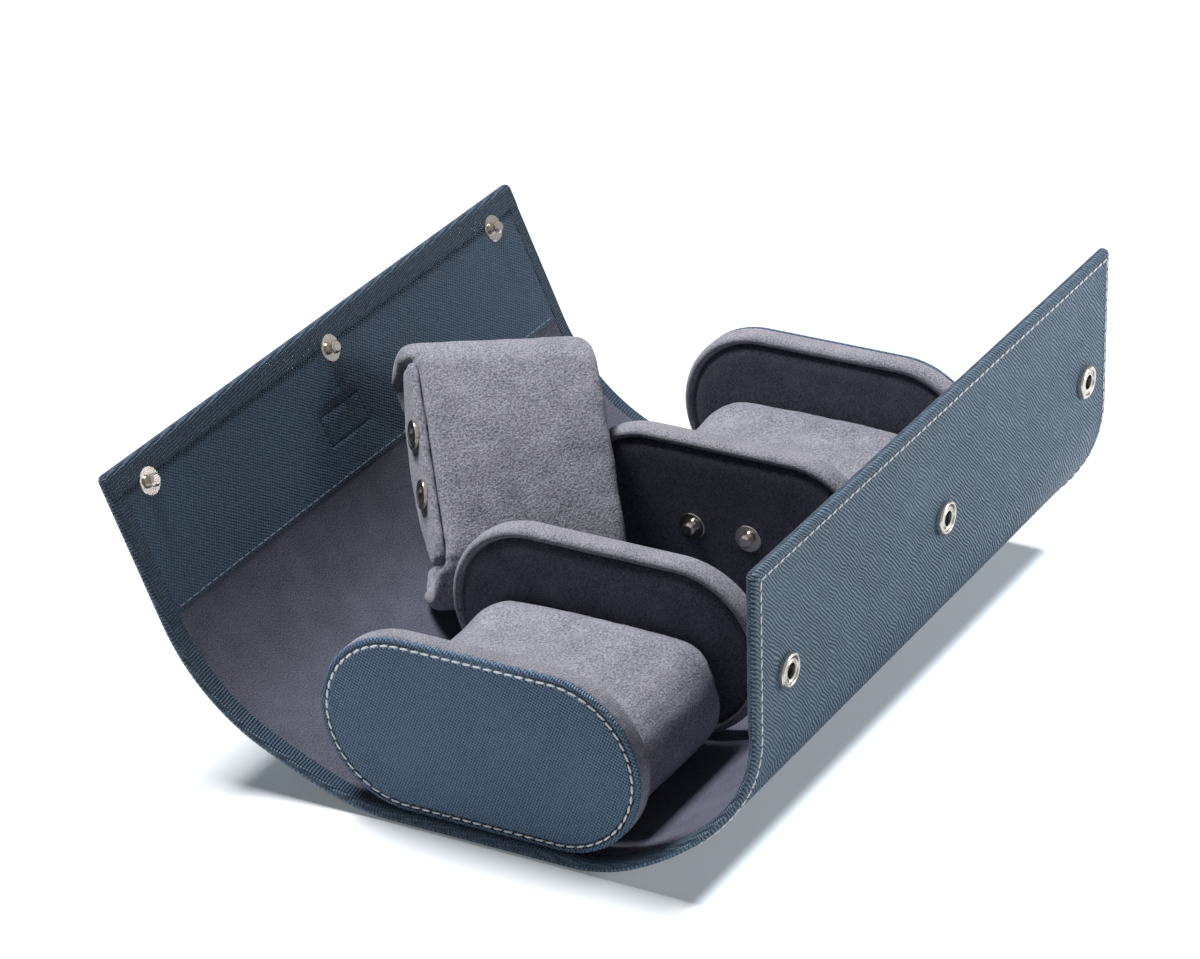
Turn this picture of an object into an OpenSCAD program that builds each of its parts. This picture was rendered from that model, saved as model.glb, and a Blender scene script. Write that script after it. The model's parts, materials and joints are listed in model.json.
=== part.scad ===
// Travel case for three watches: a soft wrap that rolls closed round four oval
// dividers, with three padded cuffs that snap between them.
// X runs along the case, +Y is the side of the outer flap, +Z is up.
// The origin is on the underside of the base, in the middle of the dividers.

/* [Wrap] */
// Length of the wrap along X
wrap_len = 221.2; // [210:0.2:240]
// Thickness of the whole wrap: leather, board and lining
wrap_t = 3; // [2.6:0.1:4]
// Thickness of the outer leather
leather_t = 1.2; // [0.8:0.1:1.6]
// Thickness of the suede lining over the stiff parts
lining_t = 1; // [0.6:0.1:1.2]
// Width of the leather turned in at the ends and at the right free edge
hem = 5.5; // [3:0.5:9]
// Half the width of the flat base, from the middle to the first fold
base_half = 27.6; // [24:0.2:34]
// Gap left between two neighbouring stiff parts at a fold
fold_gap = 0.1; // [0.05:0.05:0.4]
// How much thinner the bends are, which have no board, on their inner face
bend_thin = 0.7; // [0:0.1:0.8]

/* [Outer flap, left] */
// Length of each curved strip, along its inner face
left_strip = 21.5; // [16:0.1:26]
// How far each of the four strips turns up, in degrees
left_turns = [21, 5, 21, 20]; // [3:1:35]
// Length of the flat flap past the last fold
left_flap_len = 45.2; // [36:0.2:60]
// Width of the leather turned in at the outer flap's free edge
left_hem = 7.5; // [5:0.5:8]
// Distance of the snap studs from the free edge
left_snap_inset = 9; // [7:0.5:14]

/* [Inner flap, right] */
// Length of each curved strip, along its inner face
right_strip = 20.7; // [16:0.1:26]
// How far each of the four strips turns up, in degrees
right_turns = [27, 12, 20, 30]; // [5:1:35]
// Length of the flat flap past the last fold
right_flap_len = 49.2; // [44:0.2:60]
// Distance of the snap sockets from the free edge
right_snap_inset = 35.9; // [20:0.1:38]
// Radius of the corners of both flaps
flap_corner = 2; // [1:0.5:5]

/* [Dividers] */
// Width of a divider along Y
divider_w = 100; // [92:1:106]
// Height of a divider
divider_h = 54; // [48:1:60]
// Thickness of a divider along X
divider_t = 7.6; // [6:0.2:10]
// Clear length of a bay between two dividers
bay = 62; // [61:0.5:70]
// Width of the rim round the inset pad
rim_w = 3; // [2:0.5:5]
// Gap between the rim and the pad
pad_gap = 0.4; // [0.2:0.1:1]
// Depth of the pad's recess, which is the pad's thickness
pad_t = 1.6; // [1:0.1:2.2]
// Radius of a divider's rounded edge
divider_edge = 1.5; // [0.5:0.1:2]
// Thickness of the leather on the outside of an end panel
face_t = 1.2; // [0.8:0.1:2]

/* [Cuffs] */
// Length of a cuff along X, with its end tab
cuff_len = 57.3; // [50:0.1:58]
// Width of a cuff
cuff_w = 82; // [70:1:84]
// Height of a cuff without its crown
cuff_h = 31.8; // [28:0.2:34]
// Thickness of the padded wall
cuff_wall = 7.5; // [6:0.1:9]
// Height of the crown on the broad face
cuff_crown = 1.8; // [0.5:0.1:3]
// Rounding of the cuff's end edges
cuff_edge = 2.6; // [1.5:0.1:3]
// Width of the open back between the two lips
cuff_back = 54; // [50:1:60]
// Gap under a seated cuff
cuff_seat_gap = 0.4; // [0.2:0.1:1]
// Thickness of the end tab
tab_t = 3; // [2.6:0.1:4]
// Width of the end tab
tab_w = 62; // [50:1:66]
// Depth of the end tab's curved back edge below the middle of the cuff
tab_drop = 4; // [2:0.5:8]
// Rise of that edge from its middle to its ends
tab_rise = 10; // [6:0.5:14]
// Place of the loose cuff's middle
loose_at = [9.9, 58.6, 45.5]; // [-20:0.1:80]
// Turn of the loose cuff about X, Y and Z in degrees
loose_turn = [-42.4, -6.8, 135.3]; // [-180:0.1:180]

/* [Snaps] */
// Distance of the end snaps from the middle one, along X
snap_x = 94; // [80:1:98]
// Diameter of a flap's snap socket
socket_d = 10; // [8:0.5:12]
// Height of a flap's snap socket
socket_h = 1.8; // [1.4:0.1:2.4]
// Diameter of a stud's flange
stud_flange_d = 8.5; // [7:0.5:10]
// Thickness of a stud's flange
stud_flange_t = 0.5; // [0.3:0.1:0.8]
// Diameter of a stud's head
stud_head_d = 4; // [3.4:0.1:4.4]
// Height of a stud above its flange
stud_h = 2.6; // [2:0.1:3]
// Clearance round a stud's head in its socket
snap_clear = 0.2; // [0.1:0.05:0.4]
// Gap between a stud's flange and its socket when snapped
snap_gap = 0.2; // [0.1:0.1:0.5]
// Diameter of a cuff's snap socket
cuff_socket_d = 9; // [8:0.5:10]
// Height of a cuff's snap socket
cuff_socket_h = 1.2; // [1:0.1:1.6]
// Distance of each cuff snap from the middle, along Y
cuff_snap_y = 9.3; // [8:0.1:14]
// Height of a cuff's snaps above the middle of the cuff
cuff_snap_z = 9.3; // [8:0.1:9.6]

/* [Hidden] */
$fn = 64;
eps = 0.01;

leather_blue = "#41597a";
lining_grey = "#8f8e9c";
cuff_grey = "#a3a2ad";
board_brown = "#a08a6c";
nickel = "#c9c3bb";

// Dividers, from the near end (-X) to the far end
pitch = bay + divider_t;
divider_r = divider_h / 2;
divider_flat = divider_w - divider_h;
divider_z = wrap_t + divider_r;
function divider_x(n) = (n - 1.5) * pitch;

// Cuffs
cuff_r = cuff_h / 2;
cuff_flat = cuff_w - cuff_h;
path_r = cuff_r - cuff_wall / 2;
cuff_z = wrap_t + cuff_seat_gap + cuff_r;
snap_z = cuff_z + cuff_snap_z;
seated_reach = stud_flange_t + snap_gap + cuff_socket_h;
socket_bore = stud_head_d + 2 * snap_clear;

// The wrap's fold lines: each strip starts at a fold on the inner face and is an arc
function heading(turns, n) = n == 0 ? 0 : heading(turns, n - 1) + turns[n - 1];
function arc_r(strip, turn) = strip * 180 / (PI * turn);
function fold(turns, strip, n) = n == 0 ? [base_half, wrap_t] :
    let (p = fold(turns, strip, n - 1), r = arc_r(strip, turns[n - 1]),
         a = heading(turns, n - 1), b = heading(turns, n))
    [p[0] + r * (sin(b) - sin(a)), p[1] + r * (cos(a) - cos(b))];

// One layer of a curved strip, from depth t_in to t_out below the inner face
module strip_layer(turns, strip, n, len, t_in, t_out, over = 0) {
    r = arc_r(strip, turns[n]);
    a = heading(turns, n);
    p = fold(turns, strip, n);
    trim = fold_gap * 90 / (PI * r) - over;
    translate([-len / 2, p[0] - r * sin(a), p[1] + r * cos(a)])
        rotate([0, 90, 0])
            rotate([0, 0, a + trim])
                rotate_extrude(angle = turns[n] - 2 * trim, $fn = 720)
                    translate([r + t_in, 0])
                        square([t_out - t_in, len]);
}

module strip_leather(turns, strip, n) {
    color(leather_blue)
        difference() {
            strip_layer(turns, strip, n, wrap_len, bend_thin, wrap_t);
            strip_layer(turns, strip, n, wrap_len - 2 * hem, -1, wrap_t - leather_t, over = 1);
        }
}

module strip_lining(turns, strip, n) {
    color(lining_grey)
        strip_layer(turns, strip, n, wrap_len - 2 * hem, bend_thin, wrap_t - leather_t);
}

// Puts a flap's own frame on its last fold: y runs along the flap, z = 0 is its inner face
module on_flap(turns, strip) {
    p = fold(turns, strip, 4);
    translate([0, p[0], p[1]])
        rotate([heading(turns, 4), 0, 0])
            children();
}

// Outline of a flap, drawn in from its ends and its free edge
module flap_outline(len, side, edge, corner) {
    half = wrap_len / 2 - side;
    top = len - edge;
    start = fold_gap / 2;
    translate([-half, start])
        square([2 * half, top - corner - start]);
    translate([corner - half, start])
        square([2 * (half - corner), top - start]);
    for (s = [-1, 1])
        translate([s * (half - corner), top - corner])
            circle(corner);
}

module flap_layer(len, side, edge, t_in, t_out, corner) {
    translate([0, 0, -t_out])
        linear_extrude(t_out - t_in)
            flap_outline(len, side, edge, corner);
}

// The flap's leather with its turned edges round a pocket for board and lining
module flap_leather_body(len, edge_hem) {
    difference() {
        flap_layer(len, 0, 0, 0, wrap_t, flap_corner);
        translate([0, -1, 0])
            flap_layer(len + 1, hem, edge_hem, -1, wrap_t - leather_t, flap_corner / 2);
    }
}

module left_flap_leather() {
    color(leather_blue)
        on_flap(left_turns, left_strip)
            flap_leather_body(left_flap_len, left_hem);
}

module left_flap_board() {
    color(board_brown)
        on_flap(left_turns, left_strip)
            flap_layer(left_flap_len, hem, left_hem, lining_t, wrap_t - leather_t, flap_corner / 2);
}

module left_flap_facing() {
    color(leather_blue)
        on_flap(left_turns, left_strip)
            flap_layer(left_flap_len, hem, left_hem, 0, lining_t, flap_corner / 2);
}

module right_flap_leather() {
    color(leather_blue)
        mirror([0, 1, 0])
            on_flap(right_turns, right_strip)
                difference() {
                    flap_leather_body(right_flap_len, hem);
                    at_flap_snaps(right_flap_len - right_snap_inset)
                        translate([0, 0, -wrap_t - eps])
                            cylinder(d = socket_bore, h = leather_t - 0.2);
                }
}

module right_flap_board() {
    color(board_brown)
        mirror([0, 1, 0])
            on_flap(right_turns, right_strip)
                flap_layer(right_flap_len, hem, hem, lining_t, wrap_t - leather_t, flap_corner / 2);
}

module right_flap_lining() {
    color(lining_grey)
        mirror([0, 1, 0])
            on_flap(right_turns, right_strip)
                flap_layer(right_flap_len, hem, hem, 0, lining_t, flap_corner / 2);
}

module base_layer(len, t_in, t_out, over = 0) {
    half = base_half - fold_gap / 2 + over;
    translate([-len / 2, -half, wrap_t - t_out])
        cube([len, 2 * half, t_out - t_in]);
}

module base_leather() {
    color(leather_blue)
        difference() {
            base_layer(wrap_len, 0, wrap_t);
            base_layer(wrap_len - 2 * hem, -1, wrap_t - leather_t, over = 1);
        }
}

module base_board() {
    color(board_brown)
        base_layer(wrap_len - 2 * hem, lining_t, wrap_t - leather_t);
}

module base_lining() {
    color(lining_grey)
        base_layer(wrap_len - 2 * hem, 0, lining_t);
}

// Snaps
module at_flap_snaps(y) {
    for (x = [-snap_x, 0, snap_x])
        translate([x, y, 0])
            children();
}

// A stud stands on z = 0: a flange with a rolled edge, a neck and a bulbous head
module stud() {
    flange_r = stud_flange_d / 2;
    head_r = stud_head_d / 2;
    neck_r = head_r * 0.8;
    top = stud_flange_t + stud_h;
    rotate_extrude()
        polygon([
            [0, 0], [flange_r, 0], [flange_r, stud_flange_t * 0.6],
            [flange_r - stud_flange_t * 0.4, stud_flange_t], [neck_r, stud_flange_t],
            [neck_r, stud_flange_t + stud_h * 0.25], [head_r, stud_flange_t + stud_h * 0.5],
            [head_r, top - stud_h * 0.25], [head_r * 0.7, top], [0, top]
        ]);
}

// A socket stands on z = 0: a dished disc with a rolled rim round its bore
module socket(d, h) {
    roll = h * 0.4;
    rotate_extrude() {
        difference() {
            translate([socket_bore / 2, 0])
                square([d / 2 - roll - socket_bore / 2, h * 0.8]);
            translate([(d / 2 - roll + socket_bore / 2) / 2, h * 1.3])
                circle(h * 0.6);
        }
        translate([d / 2 - roll, 0])
            square([roll, h - roll]);
        translate([d / 2 - roll, h - roll])
            circle(roll);
    }
}

module left_snap_studs() {
    color(nickel)
        on_flap(left_turns, left_strip)
            at_flap_snaps(left_flap_len - left_snap_inset)
                stud();
}

module right_snap_sockets() {
    color(nickel)
        mirror([0, 1, 0])
            on_flap(right_turns, right_strip)
                at_flap_snaps(right_flap_len - right_snap_inset)
                    translate([0, 0, -wrap_t])
                        mirror([0, 0, 1])
                            socket(socket_d, socket_h);
}

// The two studs of one cuff, on the near face of divider n
module divider_studs(n) {
    color(nickel)
        for (s = [-1, 1])
            translate([divider_x(n) - divider_t / 2, s * cuff_snap_y, snap_z])
                rotate([0, -90, 0])
                    stud();
}

// An oval solid from a half profile: x is the distance from the rim's centre line, y runs along X
module oval(flat) {
    for (s = [0, 1])
        mirror([0, s, 0])
            translate([0, flat / 2, 0])
                rotate([0, 90, 0])
                    rotate_extrude(angle = 180)
                        children();
    for (s = [0, 1])
        mirror([0, 0, s])
            rotate([90, 0, 0])
                linear_extrude(flat, center = true)
                    mirror([1, -1, 0])
                        children();
}

// Half profile of a plate of radius r from x = x0, with both outer edges rounded
module plate_profile(r, x0, t, edge) {
    translate([0, x0])
        square([r - edge, t]);
    translate([0, x0 + edge])
        square([r, t - 2 * edge]);
    for (y = [x0 + edge, x0 + t - edge])
        translate([r - edge, y])
            circle(edge);
}

// Half profile of a pad of radius r from x = 0, rounded on its outer side only
module pad_profile(r) {
    edge = pad_t / 2;
    square([r - edge, pad_t]);
    square([r, pad_t - edge]);
    translate([r - edge, pad_t - edge])
        circle(edge);
}

// Body of divider n: near and far say what each side has, a pad's recess or a leather face
module divider_core(n, near, far) {
    cut_near = near == "face" ? face_t : 0;
    cut_far = far == "face" ? face_t : 0;
    recess_r = divider_r - rim_w;
    color(lining_grey)
        translate([divider_x(n), 0, divider_z])
            oval(divider_flat)
                difference() {
                    plate_profile(divider_r, cut_near - divider_t / 2, divider_t - cut_near - cut_far,
                                  divider_edge);
                    if (near == "pad")
                        translate([-eps, -divider_t / 2 - eps])
                            square([recess_r + eps, pad_t + eps]);
                    if (far == "pad")
                        translate([-eps, divider_t / 2 - pad_t])
                            square([recess_r + eps, pad_t + eps]);
                }
}

// A pad of divider n: side is -1 on the near face and 1 on the far face
module divider_pad(n, side) {
    color(lining_grey)
        translate([divider_x(n), 0, divider_z])
            mirror([side < 0 ? 1 : 0, 0, 0])
                translate([divider_t / 2 - pad_t, 0, 0])
                    oval(divider_flat)
                        pad_profile(divider_r - rim_w - pad_gap);
}

// The leather on the outside of end panel n
module panel_face(n, side) {
    color(leather_blue)
        translate([divider_x(n), 0, divider_z])
            mirror([side < 0 ? 1 : 0, 0, 0])
                translate([divider_t / 2 - face_t, 0, 0])
                    oval(divider_flat)
                        plate_profile(divider_r, 0, face_t, face_t * 0.45);
}

// A cuff's section: the middle line of its wall runs from lip to lip over the broad face
lip_angle = -acos((cuff_back - cuff_flat) / 2 / path_r);
side_steps = 9;
top_steps = 6;
lip_steps = 4;
// Each entry is [y, z, normal y, normal z, share of the crown]
half_line = concat(
    [for (k = [0 : side_steps])
        let (a = lip_angle + (90 - lip_angle) * k / side_steps)
        [cuff_flat / 2 + path_r * cos(a), path_r * sin(a), cos(a), sin(a), 0]],
    [for (k = [1 : top_steps / 2])
        let (y = cuff_flat / 2 * (1 - 2 * k / top_steps))
        [y, path_r, 0, 1, 1 - pow(2 * y / cuff_flat, 2)]]
);
half_n = len(half_line);
wall_line = concat(half_line,
    [for (k = [half_n - 2 : -1 : 0])
        let (p = half_line[k])
        [-p[0], p[1], -p[2], p[3], p[4]]]);
wall_n = len(wall_line);

function lip_end(p, s, half) =
    [for (k = [1 : lip_steps - 1])
        let (a = 180 * k / lip_steps, ty = s * sin(lip_angle), tz = -cos(lip_angle))
        [p[0] + half * (cos(a) * p[2] + sin(a) * ty), p[1] + half * (cos(a) * p[3] + sin(a) * tz)]];

// Closed outline of the wall at one station: half is half its thickness, rise its crown
function cuff_section(half, rise) = concat(
    [for (p = wall_line) [p[0] + half * p[2], p[1] + half * p[3] + rise * p[4]]],
    [for (q = lip_end(wall_line[0], 1, half)) [-q[0], q[1]]],
    [for (k = [wall_n - 1 : -1 : 0])
        let (p = wall_line[k])
        [p[0] - half * p[2], p[1] - half * p[3] + rise * p[4] * 0.5]],
    [for (k = [lip_steps - 2 : -1 : 0]) lip_end(wall_line[0], 1, half)[k]]
);

// A cap of the wall: quads across it from lip to lip, and a fan over each rounded lip
function opposite(k) = 2 * wall_n + lip_steps - 2 - k;
cuff_cap = concat(
    [for (k = [0 : wall_n - 2]) [k, k + 1, opposite(k + 1), opposite(k)]],
    [[for (k = [wall_n - 1 : opposite(wall_n - 1)]) k]],
    [concat([for (k = [opposite(0) : 2 * (wall_n + lip_steps - 1) - 1]) k], [0])]
);

// Distance of each station from the cuff's near end
cuff_run = cuff_len - tab_t;
end_steps = [0, 0.12, 0.4, 1];
stations = concat(
    [for (s = end_steps) s * cuff_edge],
    [for (k = [1 : 3]) cuff_run * k / 4],
    [for (k = [3 : -1 : 0]) cuff_run - end_steps[k] * cuff_edge]
);

function wall_half(d) = let (e = min(d, cuff_run - d, cuff_edge))
    cuff_wall / 2 - cuff_edge + sqrt(pow(cuff_edge, 2) - pow(cuff_edge - e, 2));
function crown_at(d) = cuff_crown * sqrt(max(0, 1 - pow(2 * d / cuff_run - 1, 2)));

module cuff_body() {
    rows = [for (d = stations) cuff_section(wall_half(d), crown_at(d))];
    n = len(rows[0]);
    m = len(stations);
    points = [for (k = [0 : m - 1]) for (q = rows[k]) [stations[k] - cuff_len / 2, q[0], q[1]]];
    sides = [for (k = [0 : m - 2]) for (j = [0 : n - 1])
        let (a = k * n + j, b = k * n + (j + 1) % n)
        each [[a, b, b + n], [a, b + n, a + n]]];
    near_cap = [for (f = cuff_cap) [for (k = [len(f) - 1 : -1 : 0]) f[k]]];
    far_cap = [for (f = cuff_cap) [for (j = f) (m - 1) * n + j]];
    color(cuff_grey)
        polyhedron(points, concat(sides, near_cap, far_cap), convexity = 6);
}

// The D-shaped tab that closes the upper half of the cuff's far end
module cuff_tab_body() {
    tab_r = path_r + cuff_wall / 2 - cuff_edge / 2;
    arc = (pow(tab_w / 2, 2) + pow(tab_rise, 2)) / (2 * tab_rise);
    color(cuff_grey)
        translate([cuff_len / 2 - tab_t, 0, 0])
            difference() {
                intersection() {
                    oval(cuff_flat)
                        square([tab_r, tab_t]);
                    translate([0, -tab_w / 2, -tab_r])
                        cube([tab_t, tab_w, 2 * tab_r]);
                    translate([-1, 0, arc - tab_drop])
                        rotate([0, 90, 0])
                            cylinder(r = arc, h = tab_t + 2, $fn = 120);
                }
                for (s = [-1, 1])
                    translate([tab_t / 2, s * cuff_snap_y, cuff_snap_z])
                        rotate([0, 90, 0])
                            cylinder(d = socket_bore, h = tab_t);
            }
}

module cuff_sockets_body() {
    color(nickel)
        for (s = [-1, 1])
            translate([cuff_len / 2, s * cuff_snap_y, cuff_snap_z])
                rotate([0, 90, 0])
                    socket(cuff_socket_d, cuff_socket_h);
}

// Places a cuff snapped on the near face of divider n
module seated(n) {
    translate([divider_x(n) - divider_t / 2 - seated_reach - cuff_len / 2, 0, cuff_z])
        children();
}

module loose() {
    translate(loose_at)
        rotate(loose_turn)
            children();
}

module strip_leather_left(n) { strip_leather(left_turns, left_strip, n - 1); }
module strip_lining_left(n) { strip_lining(left_turns, left_strip, n - 1); }
module strip_leather_right(n) { mirror([0, 1, 0]) strip_leather(right_turns, right_strip, n - 1); }
module strip_lining_right(n) { mirror([0, 1, 0]) strip_lining(right_turns, right_strip, n - 1); }

base_leather();
base_board();
base_lining();
strip_leather_left(1);  // left_bend_1_leather
strip_lining_left(1);  // left_bend_1_lining
strip_leather_left(2);  // left_bend_2_leather
strip_lining_left(2);  // left_bend_2_lining
strip_leather_left(3);  // left_bend_3_leather
strip_lining_left(3);  // left_bend_3_lining
strip_leather_left(4);  // left_bend_4_leather
strip_lining_left(4);  // left_bend_4_lining
left_flap_leather();
left_flap_board();
left_flap_facing();
left_snap_studs();
strip_leather_right(1);  // right_bend_1_leather
strip_lining_right(1);  // right_bend_1_lining
strip_leather_right(2);  // right_bend_2_leather
strip_lining_right(2);  // right_bend_2_lining
strip_leather_right(3);  // right_bend_3_leather
strip_lining_right(3);  // right_bend_3_lining
strip_leather_right(4);  // right_bend_4_leather
strip_lining_right(4);  // right_bend_4_lining
right_flap_leather();
right_flap_board();
right_flap_lining();
right_snap_sockets();
divider_core(0, "face", "pad");  // near_end_panel_core
panel_face(0, -1);  // near_end_panel_face
divider_pad(0, 1);  // near_end_panel_pad
divider_core(1, "pad", "pad");  // divider_a_core
union() { divider_pad(1, -1); divider_pad(1, 1); }  // divider_a_pads
divider_studs(1);  // divider_a_studs
divider_core(2, "pad", "pad");  // divider_b_core
union() { divider_pad(2, -1); divider_pad(2, 1); }  // divider_b_pads
divider_studs(2);  // divider_b_studs
divider_core(3, "pad", "face");  // far_end_panel_core
panel_face(3, 1);  // far_end_panel_face
divider_pad(3, -1);  // far_end_panel_pad
divider_studs(3);  // far_end_panel_studs
seated(1) cuff_body();  // near_cuff
seated(1) cuff_tab_body();  // near_cuff_tab
seated(1) cuff_sockets_body();  // near_cuff_sockets
loose() cuff_body();  // loose_cuff
loose() cuff_tab_body();  // loose_cuff_tab
loose() cuff_sockets_body();  // loose_cuff_sockets
seated(3) cuff_body();  // far_cuff
seated(3) cuff_tab_body();  // far_cuff_tab
seated(3) cuff_sockets_body();  // far_cuff_sockets
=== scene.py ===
"""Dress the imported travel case: rolled leather and suede, padded dividers and cuffs, snaps, and a studio."""
import json
import math

import bmesh
import bpy
from bpy.props import FloatProperty, FloatVectorProperty, IntProperty, PointerProperty
from mathutils import Euler, Matrix, Vector, noise


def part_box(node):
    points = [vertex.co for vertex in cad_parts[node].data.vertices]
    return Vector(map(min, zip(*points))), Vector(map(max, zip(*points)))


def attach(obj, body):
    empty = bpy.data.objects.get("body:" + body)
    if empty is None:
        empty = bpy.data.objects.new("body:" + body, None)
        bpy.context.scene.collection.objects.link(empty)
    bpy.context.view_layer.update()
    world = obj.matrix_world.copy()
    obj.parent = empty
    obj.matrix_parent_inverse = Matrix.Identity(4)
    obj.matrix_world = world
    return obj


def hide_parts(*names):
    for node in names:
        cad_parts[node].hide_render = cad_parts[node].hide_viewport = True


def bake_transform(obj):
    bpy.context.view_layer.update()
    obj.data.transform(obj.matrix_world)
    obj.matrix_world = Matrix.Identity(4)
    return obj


bl_info = {
    "name": "Rolled travel case",
    "version": (1, 0, 0),
    "blender": (4, 5, 0),
    "location": "View3D > Sidebar > Travel case",
    "description": "Leather, suede, stitching and snaps for a rolled travel case",
    "category": "Add Mesh",
}

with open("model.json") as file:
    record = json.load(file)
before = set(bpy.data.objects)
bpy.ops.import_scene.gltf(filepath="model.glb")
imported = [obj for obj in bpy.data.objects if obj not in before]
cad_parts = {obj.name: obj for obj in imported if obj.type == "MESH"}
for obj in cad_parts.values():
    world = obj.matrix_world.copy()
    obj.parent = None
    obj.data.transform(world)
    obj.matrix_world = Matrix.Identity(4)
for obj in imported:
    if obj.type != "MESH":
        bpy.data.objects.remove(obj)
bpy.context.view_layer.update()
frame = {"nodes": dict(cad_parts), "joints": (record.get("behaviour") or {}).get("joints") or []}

MM = 0.001


# ---------------------------------------------------------------- sizes and colours

def srgb(code):
    """Turn a hex colour into the linear colour that a shader takes."""
    parts = [int(code[n:n + 2], 16) / 255 for n in (1, 3, 5)]
    return (*[p / 12.92 if p <= 0.04045 else ((p + 0.055) / 1.055) ** 2.4 for p in parts], 1)


def size(name, description, default, **limits):
    """A size in mm for the panel."""
    return FloatProperty(name=name, description=f"{description}, in mm", default=default, **limits)


def colour(name, description, code):
    """A colour for the panel."""
    return FloatVectorProperty(
        name=name, description=description, default=srgb(code), size=4, min=0, max=1, subtype="COLOR")


def stage_place(name, description, default):
    """A place on the stage for the panel."""
    return FloatVectorProperty(
        name=name, description=description, default=default, subtype="XYZ", unit="LENGTH")


class CaseSizes(bpy.types.PropertyGroup):
    """Sizes of the leather, the lining and the stitching"""

    half_length: size("Half length", "Half the length of the wrap along X", 110.6)
    thickness: size("Thickness", "Thickness of the whole wrap", 3.0, min=2.6, max=4)
    pocket: size("Pocket", "Depth of the pocket for board and lining", 1.8)
    hem: size("Hem", "Width of the leather turned in at an edge", 5.5)
    left_hem: size("Outer flap's hem", "Width of the hem at the outer flap's free edge", 7.5)
    left_flap: size("Outer flap", "Length of the flat outer flap", 45.2)
    right_flap: size("Inner flap", "Length of the flat inner flap", 49.2)
    proud: size("Proud hem", "How far a hem stands over the lining", 0.3)
    rounding: size("Rounded edge", "Radius of the leather's edge", 1.45)
    corner: size("Corner", "Radius of a flap's corner", 2.0)
    stitch_inset: size("Stitch inset", "Distance of a row of stitches from its edge", 2.6)
    stitch_pitch: size("Stitch pitch", "Distance between two stitches", 3.3)
    stitch_length: size("Stitch length", "Length of a stitch", 2.85)
    socket_radius: size("Socket", "Radius of a snap socket", 5.0)
    stitch_width: size("Stitch width", "Width of the thread", 0.7)


class DividerSizes(bpy.types.PropertyGroup):
    """Sizes of the oval dividers"""

    radius: size("Radius", "Half the height of a divider", 27.0)
    flat: size("Flat", "Length of a divider's straight edge", 46.0)
    half_thickness: size("Half thickness", "Half the thickness of a divider", 3.8)
    centre_height: size("Height of the centre", "Height of a divider's centre", 30.0)
    pitch: size("Pitch", "Distance between two dividers", 69.6)
    rim: size("Rim", "Width of the rim round the pad", 3.0)
    recess: size("Recess", "Depth of the pad's recess", 1.6)
    face: size("Leather face", "Thickness of an end panel's leather", 1.2)
    puff: size("Puff", "Crown of the inset pad", 0.35)
    ring: IntProperty(name="Ring", description="Points round an oval", default=160, min=32)
    stitches: IntProperty(name="Stitches", description="Stitches round an end panel", default=76)
    stitch_inset: size("Stitch inset", "Distance of an end panel's stitches from its edge", 2.3)


class CuffSizes(bpy.types.PropertyGroup):
    """Sizes of the padded cuffs"""

    voxel: size("Voxel", "Mesh size of the padding", 0.95)
    soften: IntProperty(name="Soften", description="Smoothing passes that round the padding", default=10)
    full: size("Fuller end", "How far a seated cuff swells over its tab", 3.0)
    ears: size("Ears", "How far the loose cuff's padding stands out past its tab", 2.6)
    pucker: size("Pucker", "Height of the puckers near the edges", 0.35)


class StudioSizes(bpy.types.PropertyGroup):
    """Camera and lights"""

    camera_at: stage_place("Camera", "Place of the camera", (-1.0359, -0.58784, 0.66932))
    camera_turn: FloatVectorProperty(
        name="Camera's turn", description="Turn about the upright, tilt, and roll on its own axis, in degrees",
        default=(-59.53, 62.95, -2.51), subtype="XYZ")
    lens: size("Lens", "Focal length on a 36 mm sensor", 141.41)
    key_at: stage_place("Key light", "Place of the softbox on the left", (0.08, 0.55, 1.2))
    key_size: FloatProperty(
        name="Key light's size", description="Side of the softbox on the left", default=0.4, unit="LENGTH")
    key_power: FloatProperty(
        name="Key light's power", description="Power of the softbox on the left, in watts", default=26.0)
    side_at: stage_place("Side light", "Place of the softbox on the right", (0.35, -0.6, 0.2))
    side_size: FloatProperty(
        name="Side light's size", description="Side of the softbox on the right", default=0.3, unit="LENGTH")
    side_power: FloatProperty(
        name="Side light's power", description="Power of the softbox on the right, in watts", default=2.4)
    fill: FloatProperty(name="Fill light", description="Strength of the room's own light", default=0.01)
    mirrored: FloatProperty(
        name="Mirrored room", description="Strength of the white room in reflections", default=0.4)
    # Strength of the floor's faint painted glow in the shadow, and where the white painted glow past the strip
    # begins
    shadow: FloatProperty(name="Shadow", description="Brightness of the floor in full shadow", default=0.17)
    shadow_end: size("Shadow's end", "Where the shadow strip ends along Y", -65.0)


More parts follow.
